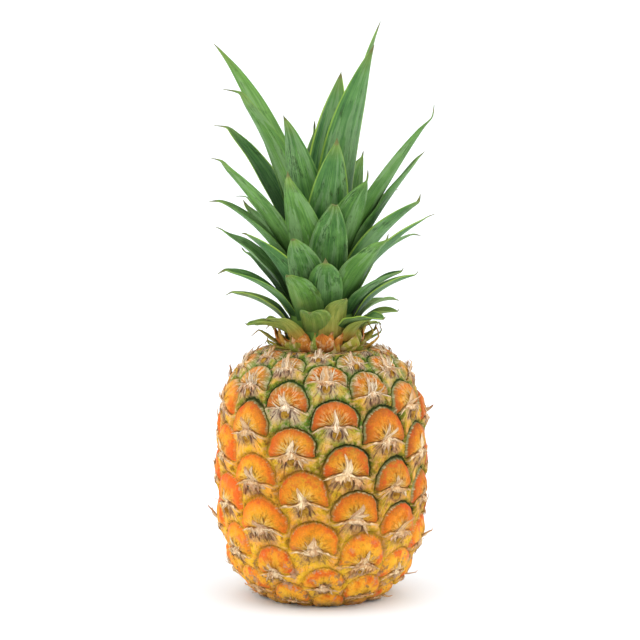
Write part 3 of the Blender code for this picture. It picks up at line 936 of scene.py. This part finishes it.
class Look:
    """One material and the nodes on its sheet."""

    def __init__(self, name, **constants):
        self.material = bpy.data.materials.new(name)
        self.material.use_nodes = True
        self.tree = self.material.node_tree
        self.shader = self.tree.nodes["Principled BSDF"]
        for socket, value in constants.items():
            self.shader.inputs[socket.replace("_", " ")].default_value = value

    def node(self, kind, settings, *values, output=0):
        """Adds a node with these settings, and with values or links in its sockets, in order."""
        node = self.tree.nodes.new(kind)
        for name, setting in settings.items():
            setattr(node, name, setting)
        sockets = [socket for socket in node.inputs if socket.enabled]
        for socket, value in zip(sockets, values):
            if isinstance(value, Value):
                self.tree.links.new(value.socket, socket)
            elif value is not None:
                socket.default_value = value
        outputs = [socket for socket in node.outputs if socket.enabled]
        return Value(self, outputs[output])

    def place(self):
        """The point in the object's own space, in metres."""
        return self.node("ShaderNodeTexCoord", {}, output=3)

    def sheet_place(self, name):
        """(across, along) of the piece's own map."""
        place = self.node("ShaderNodeUVMap", {"uv_map": name})
        return self.part(place, 0), self.part(place, 1)

    def part(self, vector, axis):
        """One number of a vector: 0 to the right, 1 to the back and 2 up."""
        return self.node("ShaderNodeSeparateXYZ", {}, vector, output=axis)

    def value(self, name):
        """A number kept on the mesh."""
        return self.node("ShaderNodeAttribute", {"attribute_name": name}, output=2)

    def vector(self, x, y, z):
        return self.node("ShaderNodeCombineXYZ", {}, x, y, z)

    def noise(self, vector, scale, detail=3.0, roughness=0.55):
        return self.node("ShaderNodeTexNoise", {}, vector, scale, detail, roughness)

    def grain(self, x, y, z, detail, roughness=0.55):
        """Noise over numbers of the look's own, so that it runs along a fibre or round an eye."""
        return self.noise(self.vector(x, y, z), 1.0, detail, roughness)

    def mix(self, share, first, second):
        """The first colour where share is 0 and the second where it is 1."""
        first, second = ((*c, 1) if isinstance(c, tuple) else c for c in (first, second))
        return self.node("ShaderNodeMix", {"data_type": "RGBA"}, share, first, second)

    def layers(self, colour, *coats):
        """The colour with coats laid over it in order, each as thick as its share."""
        for share, coat in coats:
            colour = self.mix(share, colour, coat)
        return colour

    def shade(self, colour, amount):
        """The colour made lighter or darker by a factor that varies."""
        grey = self.vector(amount, amount, amount)
        return self.node("ShaderNodeMix", {"data_type": "RGBA", "blend_type": "MULTIPLY"}, 1.0, colour, grey)

    def finish(self, colour, roughness=None, bump=None, height=0.001):
        self.tree.links.new(colour.socket, self.shader.inputs["Base Color"])
        if roughness is not None:
            self.tree.links.new(roughness.socket, self.shader.inputs["Roughness"])
        if bump is not None:
            normal = self.node("ShaderNodeBump", {}, 1.0, height, None, bump)
            self.tree.links.new(normal.socket, self.shader.inputs["Normal"])
        return self.material


def rind_look():
    """Orange shields with thin toothed rims and green grooves, over golden skin that falls in folds."""
    look = Look("rind", Roughness=0.5, Specular_IOR_Level=0.16)
    across, along = look.sheet_place("eye")
    x = (across - 0.5) * UV_SPAN
    y = (along - 0.5) * UV_SPAN
    rim = look.value("rim")
    redness, paleness, dryness = (look.value(name) for name in EYE_LOOKS)
    point = look.place()
    side, height = look.part(point, 0), look.part(point, 2)
    cloud = look.noise(point, 22, 2)
    blotch = look.noise(point, 150, 3)
    patch = look.noise(point, 330, 4, 0.6)
    fine = look.noise(point, 1100, 4, 0.65)
    speck = look.noise(point, 2600, 2)
    # One side of the fruit and its lower third are riper, without green.
    ripe_side = (-0.006 - side).at_least(0.0) * 30 - side.at_least(0.0) * 7
    ripe = (cloud - 0.5) * 2.2 + (RIPE_BELOW - height) * 22 + ripe_side + (paleness - 0.5) * 0.6
    ripe = ripe.step(-0.15, 0.8)
    unripe = (height + (cloud - 0.5) * 0.05 + (redness - 0.5) * 0.03).step(*UNRIPE_BAND)
    top = height.step(*TOP_BAND)
    # The left side is paler gold, and it is also made brighter as painted light.
    golden_and_painted_lit_side = side.step(*GOLDEN_AND_LIT_SIDE_BAND)

    shield = (1.04 - rim).step(0.0, 0.04) * y.step(-0.35, 0.15)
    out = (x * x + (y + 1.0) * (y + 1.0)) ** 0.5
    rays = look.grain(x.turn(y + 1.6) * 9, out * 0.22, redness * 50, 4, 0.65)
    rim_turn = (x / EYE_HALF_WIDTH).turn(y / EYE_HEIGHT)
    teeth = look.grain(rim_turn * 16, redness * 31, rim * 1.4, 1)
    yellow = look.mix(paleness * 0.4 + unripe * 0.5, (0.84, 0.42, 0.012), (0.8, 0.48, 0.07))
    orange = look.mix(ripe * 0.5 + paleness * 0.4, (0.7, 0.175, 0.004), (0.86, 0.285, 0.006))
    sunny = (blotch * 0.6 + cloud * 0.4 + paleness * 0.25 - 0.12).step(0.5, 0.62)
    edge = (rim + patch * 0.8 - 0.4 + blotch * 0.5 - 0.25).step(0.5, 1.02)
    edge_brown = look.mix(ripe, (0.33, 0.07, 0.006), (0.72, 0.135, 0.006))
    olive_veil = (1 - ripe) * (y + blotch * 16 - 8).step(4.0, 12.0) * paleness.step(0.35, 0.75)
    red_spots = (blotch * 0.75 + patch * 0.35 + redness * 0.22 - 0.16 + rim * 0.06).step(0.52, 0.66)
    pale_rays = (1 - (out / (9.5 + unripe * 4)).step(0.2, 1.0)) * rays.step(0.46, 0.6)
    slit_side = 2.5 - 5 * redness.step(0.45, 0.46)
    # Painted shade: the slit is a near-black line, with no cut in the relief beneath it.
    slit = (x - slit_side + (y - 4) * 0.3).bell(0.0, 0.9) * (y + patch * 2).bell(5.0, 2.2)
    slit = slit * dryness.step(0.25, 0.45)
    hollow = (x + slit_side * 0.9).bell(0.0, 2.6) * (y + blotch * 3).bell(5.0, 3.0) * dryness.step(0.55, 0.3)
    rim_band = (rim + teeth * 0.09 + patch * 0.04 - 0.035).step(0.955, 1.01)
    rim_band = rim_band * (y + patch * 8 - 2).step(0.5, 8.0)
    rim_colour = look.mix(ripe, (0.26, 0.31, 0.12), (0.7, 0.3, 0.04))
    rim_colour = look.mix(teeth.step(0.5, 0.68), rim_colour, (0.66, 0.58, 0.32))
    plate = look.layers(
        look.mix((out + patch * 10 - 5 + redness * 4 - 2).step(2.5, 10.0), yellow, orange),
        (sunny * 0.5 + golden_and_painted_lit_side * 0.3, (0.92, 0.48, 0.025)),
        (edge * 0.9, edge_brown),
        (olive_veil * 0.5, (0.4, 0.21, 0.018)),
        (patch.step(0.52, 0.62) * rim.step(0.85, 0.4) * 0.35, (0.9, 0.5, 0.06)),
        (red_spots * rim.step(0.2, 0.7) * (0.75 - unripe * 0.4), (0.7, 0.095, 0.008)),
        (pale_rays * 0.85, (0.94, 0.7, 0.3)),
        ((1 - out.step(0.6, 5.6)) * 0.65, (0.88, 0.6, 0.22)),
        (rays.step(0.48, 0.36) * out.bell(5.5, 7.5) * 0.85, (0.36, 0.095, 0.008)),
        (speck.step(0.6, 0.7) * blotch.step(0.42, 0.6) * 0.4, (0.34, 0.1, 0.01)),
        (slit * 0.95, (0.06, 0.02, 0.008)),
        (hollow * 0.55, (0.34, 0.085, 0.008)),
        (rim_band * (0.85 - 0.4 * ripe), rim_colour),
        (top * (rim + blotch * 0.9 - 0.45).step(0.55, 1.0) * 0.8, (0.26, 0.33, 0.08)),
        (top * rays.step(0.47, 0.6) * 0.6, (0.84, 0.66, 0.44)),
    )

    # Folds fan out from over the middle of the ledge, and fade where the next eye's skin begins.
    fold_out = (x * x + (3.5 - y) * (3.5 - y)) ** 0.5
    folds = look.grain(x.turn(3.5 - y) * 9, fold_out * 0.15, dryness * 40, 4, 0.7)
    own = abs(x).step(12.0, 8.5)
    folds = folds * own + patch * (1 - own)
    knob_far = ((x - 0.4) * (x - 0.4) / 6.2 + (y + 5.0) * (y + 5.0) / 8.4) ** 0.5
    knob_colour = look.mix(patch.step(0.35, 0.65), (0.4, 0.155, 0.01), (0.66, 0.36, 0.04))
    # Pale fold ridges on the paper are partly its own cream and partly painted highlight; its dark fold lines
    # and the dark ring round the knob are painted shade.
    papery = look.layers(
        look.mix(unripe, (0.72, 0.4, 0.13), (0.84, 0.64, 0.42)),
        (folds.step(0.56, 0.66) * 0.6, (0.88, 0.64, 0.36)),
        (patch.step(0.46, 0.6) * 0.7, (0.42, 0.2, 0.13)),
        (folds.step(0.48, 0.38) * 0.9, (0.12, 0.045, 0.03)),
        (knob_far.bell(1.18, 0.42) * 0.8, (0.1, 0.04, 0.028)),
        ((1 - knob_far.step(0.8, 1.05)) * redness.step(0.15, 0.3), knob_colour),
    )

    golden = look.mix(blotch.step(0.4, 0.6), (0.98, 0.52, 0.018), (0.96, 0.38, 0.03))
    young = look.mix(blotch.step(0.4, 0.6), (0.15, 0.33, 0.03), (0.56, 0.5, 0.12))
    near_groove = (rim + blotch * 0.8 - 0.4).step(1.52, 1.08)
    green = look.mix(unripe, (0.17, 0.205, 0.008), (0.1, 0.25, 0.02))
    skin = look.layers(
        look.mix((blotch * 0.5 + patch * 0.5).step(0.42, 0.58), (0.72, 0.41, 0.014), (0.88, 0.39, 0.048)),
        (ripe * 0.85 * (side + patch * 0.02).step(0.02, -0.01), golden),
        (unripe * 0.65, young),
        (near_groove * (1 - ripe * 0.85) * 0.95, green),
        # Pale fold ridges are partly the skin's own colour and partly painted highlight, and the dark fold
        # lines are painted shade.
        (folds.step(0.55, 0.65) * 0.55, (0.9, 0.6, 0.22)),
        (folds.step(0.48, 0.37) * 0.7, (0.3, 0.115, 0.016)),
        (patch.step(0.5, 0.62) * 0.5, look.mix(unripe, (0.8, 0.4, 0.14), (0.74, 0.56, 0.36))),
    )
    dry_share = (abs(x) + folds * 8 - 2 - dryness * 4).step(9.0, 4.5) * (y - folds * 4).step(-12.5, -7.5)
    ledge = (y + LEDGE_DROP + patch - 0.5).bell(0.15, 0.8) * (abs(x) + patch * 6).step(17.5, 12.0)
    ledge_colour = look.mix(folds, (0.86, 0.5, 0.22), (0.95, 0.72, 0.46))
    below = look.layers(skin, (dry_share * y.step(2.5, 0.0), papery), (ledge * 0.85, ledge_colour))

    # Painted shade: the crease along the ledge, under each shield, is darkened.
    crease_shade = y.bell(-0.1, 0.6) * rim.step(1.9, 1.5) * abs(x).step(12.8, 11)
    broken = (patch * 0.7 + blotch * 0.6 + 0.55 - ripe * 0.3).step(0.7, 1.15)
    over_arch = (y / (out + 0.5)).step(0.35, 0.95)
    groove_width = 0.06 + 0.15 * over_arch * (blotch + 0.25).step(0.55, 0.9)
    groove = ((rim + patch * 0.16 - GROOVE_PLACE) / groove_width).bell(0.0, 1.0) * broken
    groove_colour = look.layers(
        look.mix(ripe, (0.024, 0.038, 0.002), (0.38, 0.16, 0.006)),
        (abs(x).step(7, 13) * (1 - ripe) * 0.6, (0.06, 0.035, 0.003)),
        (top * 0.6, (0.05, 0.11, 0.01)),
    )
    colour = look.mix(shield, below, plate)
    colour = look.layers(colour, (crease_shade * 0.75, (0.28, 0.08, 0.008)), (groove, groove_colour))
    shaded = rim.step(1.02, 1.1) * rim.step(1.42, 1.12)
    cavity = (patch * 0.6 + blotch * 0.4).step(0.48, 0.38) * 0.22
    # Painted light: the lower fruit, its right side and its top are made lighter, as is the left side.
    painted_light_bands = height.step(0.08, 0.03) * 0.09 + side.step(0.024, 0.046) * 0.12 + height.step(0.118, 0.13) * 0.12
    colour = look.shade(colour, 0.435 + fine * 0.7 - 0.22 * shaded - cavity + 0.26 * golden_and_painted_lit_side + painted_light_bands)

    spots = look.noise(point, 210, 4, 0.7)
    scab = look.mix(blotch.step(0.45, 0.6), (0.2, 0.1, 0.05), (0.5, 0.3, 0.17))
    worn = height.step(*WORN_BAND)
    colour = look.layers(
        colour,
        (worn * blotch.step(0.6, 0.4) * 0.6, (0.9, 0.5, 0.03)),
        (worn * spots.step(0.535, 0.61) * 0.85, scab),
        (height.step(*FOOT_BAND) * 0.55, (0.3, 0.16, 0.05)),
    )
    roughness = 0.42 + 0.3 * (1 - shield) + fine * 0.14
    shield_bump = (rays - 0.5) * out.bell(6, 8) * shield * 1.5
    skirt_bump = (folds - 0.5) * (0.4 + dry_share) * (1 - shield) * 2.0
    bump = shield_bump + skirt_bump + patch * 0.7 + fine * 0.4 + speck * 0.07
    return look.finish(colour, roughness, bump + teeth * rim_band * shield * 0.5, 0.001)


def bract_look():
    """Cream to tan paper with brown tips and fibres along it."""
    look = Look("dry_paper", Roughness=0.75, Specular_IOR_Level=0.15)
    across, along = look.sheet_place("sheet")
    seed, browned = look.value("seed"), look.value("browned")
    point = look.place()
    height = look.part(point, 2) * 1000
    fibre = look.grain(across * 7, along * 1.1, seed * 60, 4, 0.7)
    spot = look.noise(point, 420, 3)
    pale = look.mix(height.step(70, 122), (0.97, 0.78, 0.48), (0.98, 0.86, 0.64))
    tan = look.mix(seed.step(0.4, 0.6), (0.6, 0.31, 0.1), (0.46, 0.24, 0.13))
    tip = (along + spot * 0.3 - 0.15).step(0.72, 0.97)
    colour = look.layers(
        look.mix(fibre.step(0.38, 0.58), (0.48, 0.26, 0.12), pale),
        (browned.step(0.2, 1.0) * 0.7, tan),
        (spot.step(0.5, 0.64) * 0.4, (0.46, 0.22, 0.1)),
        (tip * (0.15 + 0.65 * browned), (0.48, 0.16, 0.035)),
        (along.step(0.2, 0.04) * 0.3, (0.44, 0.22, 0.08)),
    )
    return look.finish(colour, None, fibre + spot * 0.3, 0.0006)


def leaf_look(name, outer):
    """A tough green blade: pale bloom on its outer face, streaks along it, light margins, a dry tip."""
    look = Look(name, Roughness=0.5, Specular_IOR_Level=0.35)
    across, along = look.sheet_place("sheet")
    seed, age = look.value("seed"), look.value("age")
    point = look.place()
    off_middle = abs(across - 0.5) * 2
    shift = seed * 80
    vein = look.grain(across * 40, along * 1.1, shift, 3, 0.6)
    streak = look.grain(across * 9, along * 1.8, shift + 7, 4, 0.65)
    mottle = look.grain(across * 12, along * 8, shift + 3, 6, 0.8)
    scratch = look.grain(across * 30, along * 14, shift + 11, 3, 0.6)
    rubbed = look.grain(across * 5, along * 3.5, shift + 20, 4)
    cloud = look.noise(point, 60, 3)
    patchy = look.noise(point, 90, 2).step(0.46, 0.58)

    if outer:
        green = look.mix(cloud.step(0.34, 0.66), (0.027, 0.112, 0.016), (0.105, 0.27, 0.048))
        bloom = (streak * 0.6 + cloud * 0.5).step(0.42, 0.72) * (1 - along.step(0.55, 0.95)) * 0.6
        green = look.mix(bloom, green, (0.2, 0.38, 0.135))
    else:
        green = look.mix(cloud.step(0.3, 0.7), (0.06, 0.2, 0.016), (0.15, 0.38, 0.03))
        green = look.mix(off_middle.step(0.8, 0.2) * 0.35, green, (0.2, 0.44, 0.055))
    above_foot = along.step(0.15, 0.4)
    dark = (mottle * 0.75 + cloud * 0.3).step(0.53, 0.6) * along.bell(0.62, 0.55) * (0.15 + 0.75 * patchy)
    nicks = scratch.step(0.58, 0.66) * mottle.step(0.44, 0.56) * along.bell(0.6, 0.5) * patchy
    shadowed = along.step(0.42, 0.08) * age.step(0.95, 0.75)
    margin = (off_middle + streak * 0.1 + seed * 0.04 - 0.05).step(0.93, 0.99)
    old = (age + cloud * 0.3 - 0.15).step(0.72, 0.97)
    yellow = look.mix(streak.step(0.35, 0.65), (0.24, 0.28, 0.035), (0.48, 0.46, 0.09))
    base = age.step(0.84, 0.99) * (along + streak * 0.2).step(0.42, 0.1)
    dry = (along + mottle * 0.09 + seed * 0.02 + age * 0.03).step(0.975, 1.01)
    dry_colour = look.mix(mottle.step(0.3, 0.7), (0.085, 0.085, 0.018), (0.27, 0.26, 0.08))
    colour = look.layers(
        green,
        (seed.step(0.6, 1.0) * 0.55, (0.042, 0.17, 0.055)),
        (seed.step(0.4, 0.0) * 0.4, (0.17, 0.37, 0.04)),
        (vein.step(0.46, 0.6) * 0.26, (0.2, 0.42, 0.065)),
        (rubbed.step(0.51, 0.55) * above_foot * 0.38, (0.26, 0.4, 0.19)),
        (rubbed.step(0.46, 0.42) * above_foot * 0.3, (0.045, 0.15, 0.03)),
        (dark, (0.022, 0.08, 0.01)),
        (nicks * 0.85, (0.05, 0.05, 0.01)),
        (shadowed * 0.75, (0.016, 0.062, 0.012)),
        (margin * (0.08 + 0.8 * seed.step(0.55, 1.0)), (0.42, 0.64, 0.07)),
        (old * (0.4 + 0.5 * along.step(0.9, 0.3)), yellow),
        (base * 0.75, (0.58, 0.27, 0.03)),
        ((along + streak * 0.1).step(0.8, 1.0) * 0.35, (0.33, 0.4, 0.06)),
        (dry * 0.95, dry_colour),
    )
    # Painted shade: each blade is made darker towards its foot.
    colour = look.shade(colour, 0.44 + vein * 0.72 + 0.32 * along)
    roughness = (0.48 if outer else 0.38) + streak * 0.18
    return look.finish(colour, roughness, vein * 0.7 + streak * 0.7 + mottle * 0.25, 0.0008)


def neck_look():
    """Orange-brown bracts with dark dry points, some of them still olive."""
    look = Look("neck_paper", Roughness=0.65, Specular_IOR_Level=0.2)
    across, along = look.sheet_place("sheet")
    seed = look.value("seed")
    fibre = look.grain(across * 12, along * 1.3, seed * 60, 4, 0.7)
    spot = look.noise(look.place(), 300, 3)
    olive = look.mix(seed.step(0.7, 0.9), (0.33, 0.33, 0.045), (0.16, 0.26, 0.035))
    tip = (along + spot * 0.2 - 0.1).step(0.72, 0.97)
    colour = look.layers(
        look.mix(fibre.step(0.3, 0.7), (0.4, 0.085, 0.01), (0.68, 0.25, 0.035)),
        (seed.step(0.35, 0.6) * 0.9, olive),
        (spot.step(0.5, 0.64) * 0.5, (0.84, 0.64, 0.38)),
        # Painted shade: each bract is darker towards its foot at the neck.
        (along.step(0.4, 0.05) * 0.85, (0.15, 0.06, 0.015)),
        (tip * 0.6, (0.26, 0.075, 0.015)),
    )
    return look.finish(colour, None, fibre, 0.0005)


def stalk_look():
    """A dry cut through fibres, darker round its edge."""
    look = Look("cut_stalk_end", Roughness=0.85, Specular_IOR_Level=0.2)
    point = look.place()
    x, y = (look.part(point, axis) * 1000 for axis in (0, 1))
    out = (x * x + y * y) ** 0.5
    dots = look.noise(look.vector(x, y, 0.0), 1.6, 4, 0.7)
    cloud = look.noise(point, 130, 3)
    colour = look.layers(
        look.mix(dots.step(0.4, 0.62), (0.34, 0.21, 0.1), (0.62, 0.47, 0.27)),
        (cloud.step(0.45, 0.7) * 0.5, (0.24, 0.13, 0.06)),
        (out.step(8.6, 10.6) * 0.7, (0.17, 0.09, 0.04)),
    )
    return look.finish(colour, None, dots + cloud * 0.5, 0.0012)


def plain_look(name, colour, roughness):
    return Look(name, Base_Color=(*colour, 1), Roughness=roughness).material


def make_floor():
    floor = new_shape("floor", bpy.ops.mesh.primitive_plane_add, size=60, location=(0, 20, 0))
    floor.data.materials.append(plain_look("pale_floor", FLOOR_COLOUR, 0.6))


def make_lights():
    """Soft suns light the whole floor evenly, and the camera sees a white studio behind it."""
    for name, aim_turn, drop, strength, width in STUDIO_SUNS:
        light = bpy.data.objects.new(name, bpy.data.lights.new(name, "SUN"))
        bpy.context.scene.collection.objects.link(light)
        light.data.energy = strength
        light.data.angle = math.radians(width)
        turn, drop = math.radians(aim_turn), math.radians(drop)
        towards = Vector((math.sin(turn) * math.cos(drop), math.cos(turn) * math.cos(drop), -math.sin(drop)))
        light.rotation_euler = towards.to_track_quat("-Z", "Y").to_euler()
    world = bpy.data.worlds.new("studio")
    world.use_nodes = True
    tree = world.node_tree
    seen = tree.nodes.new("ShaderNodeLightPath")
    strength = tree.nodes.new("ShaderNodeMapRange")
    strength.inputs["To Min"].default_value = STUDIO_GLOW
    tree.links.new(seen.outputs["Is Camera Ray"], strength.inputs["Value"])
    tree.links.new(strength.outputs["Result"], tree.nodes["Background"].inputs["Strength"])
    tree.nodes["Background"].inputs["Color"].default_value = (1, 1, 1, 1)
    bpy.context.scene.world = world
    bpy.context.scene.view_settings.view_transform = "Standard"


def make_camera():
    camera = bpy.data.objects.new("camera", bpy.data.cameras.new("camera"))
    bpy.context.scene.collection.objects.link(camera)
    back = Vector((0, -math.cos(CAMERA_ELEVATION), math.sin(CAMERA_ELEVATION)))
    camera.location = CAMERA_AIM + back * CAMERA_DISTANCE
    camera.rotation_euler = (-back).to_track_quat("-Z", "Y").to_euler()
    camera.data.lens = CAMERA_LENS
    camera.data.sensor_width = 36
    camera.data.clip_end = 200
    bpy.context.scene.camera = camera


def main():
    make_camera()
    make_lights()
    make_floor()
    dress(make_rind(), "fruit", "rind", rind_look())
    dress(make_eye_bracts(), None, "rind", bract_look())
    crown = make_blades("crown", LEAF_CELLS, crown_leaves(), back_finish=1)
    dress(crown, "crown_leaves", "leaf", leaf_look("leaf_outer", True), leaf_look("leaf_inner", False))
    dress(make_crown_stem(), None, "leaf", plain_look("crown_stem", STEM_GREEN, 0.6))
    neck = make_blades("neck_bracts_dry", NECK_BRACT_CELLS, neck_bracts())
    dress(neck, "neck_bracts", "dry_bract", neck_look())
    dress(make_neck_disc(), None, "dry_bract", plain_look("neck_stem", STEM_TAN, 0.8))
    dress(make_cut_stalk(), "cut_stalk", "stalk", stalk_look())


main()
